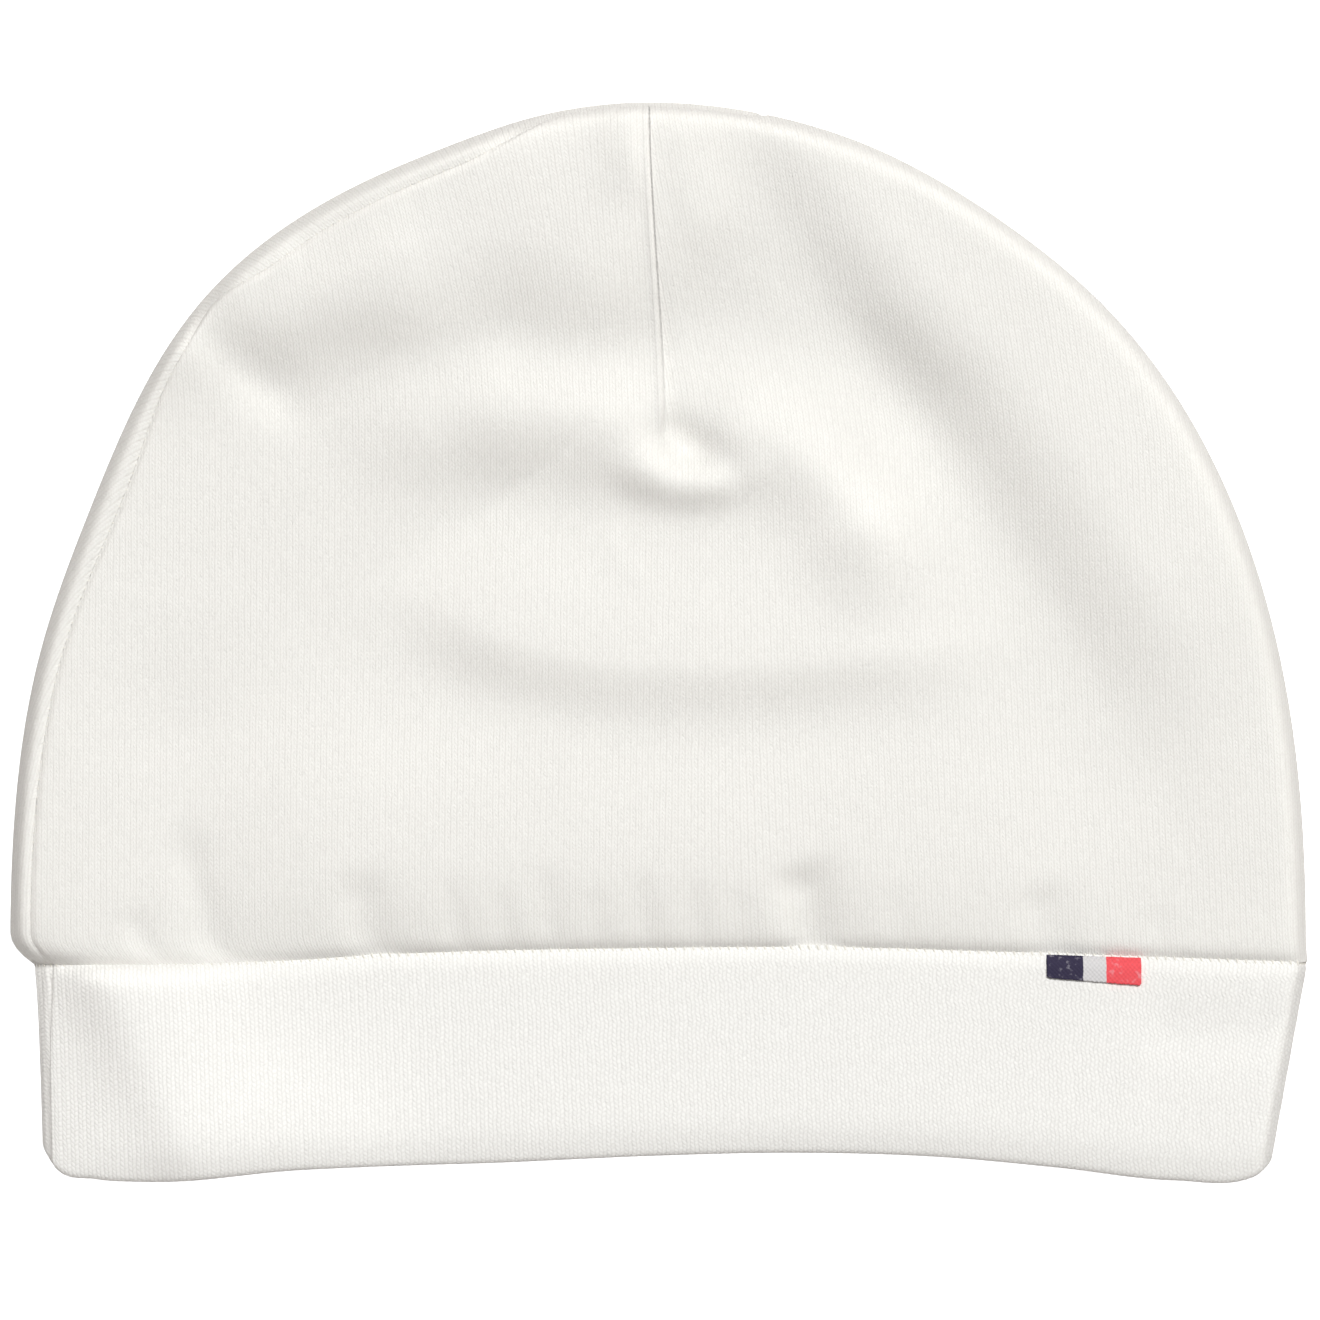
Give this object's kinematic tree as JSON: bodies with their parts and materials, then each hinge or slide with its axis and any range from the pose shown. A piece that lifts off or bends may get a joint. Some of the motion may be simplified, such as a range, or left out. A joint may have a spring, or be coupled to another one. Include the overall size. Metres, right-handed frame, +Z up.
{
  "type": "newborn hat",
  "caption": "Newborn's cotton jersey beanie lying flat on its back, with a folded knit band round its open mouth and a small woven side tab.",
  "frame": {"origin": "on the surface that the hat lies on, under the middle of its box", "axes": "+X across the hat to its right side as seen from above, +Y from the mouth towards the top of the crown, +Z up out of the front panel"},
  "size_m": [0.1754, 0.146, 0.015],
  "materials": {
    "jersey": "ivory cotton jersey with fine vertical wales, matt",
    "rib_knit": "ivory cotton knit with fine ribs, folded double, matt",
    "tab_stripes": "woven ribbon with three plain stripes in navy, grey-white and red"
  },
  "bodies": {
    "root": {"crown_front": "jersey", "crown_back": "jersey", "band": "rib_knit", "tab": "tab_stripes"}
  },
  "joints": []
}
